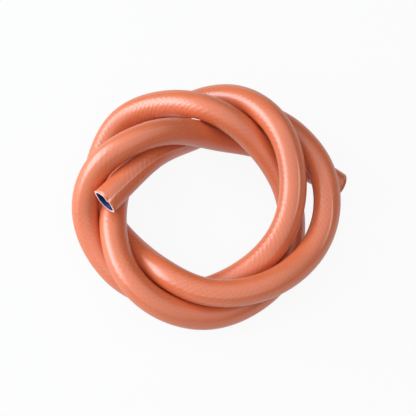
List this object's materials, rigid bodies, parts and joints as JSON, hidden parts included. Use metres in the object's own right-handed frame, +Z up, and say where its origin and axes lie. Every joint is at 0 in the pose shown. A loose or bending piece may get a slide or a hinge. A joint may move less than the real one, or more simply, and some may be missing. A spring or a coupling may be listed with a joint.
{
  "type": "rubber gas tubing",
  "caption": "Length of soft rubber gas tubing with a coloured cover and a dark lining, lying in a loose tangled coil.",
  "frame": {"origin": "on the surface that the tangle lies on, under the middle of its outline", "axes": "+Z up; +X towards the lower free end, across the tangle's longest side; +Y towards the side where the tube is stacked highest"},
  "size_m": [0.1214, 0.1157, 0.045],
  "materials": {
    "cover_rubber": "smooth salmon rubber with a soft sheen and faint marks of its winding",
    "lining_rubber": "smooth dark navy rubber, slightly glossy"
  },
  "bodies": {
    "root": {"outer_cover": "cover_rubber", "inner_lining": "lining_rubber"}
  },
  "joints": []
}
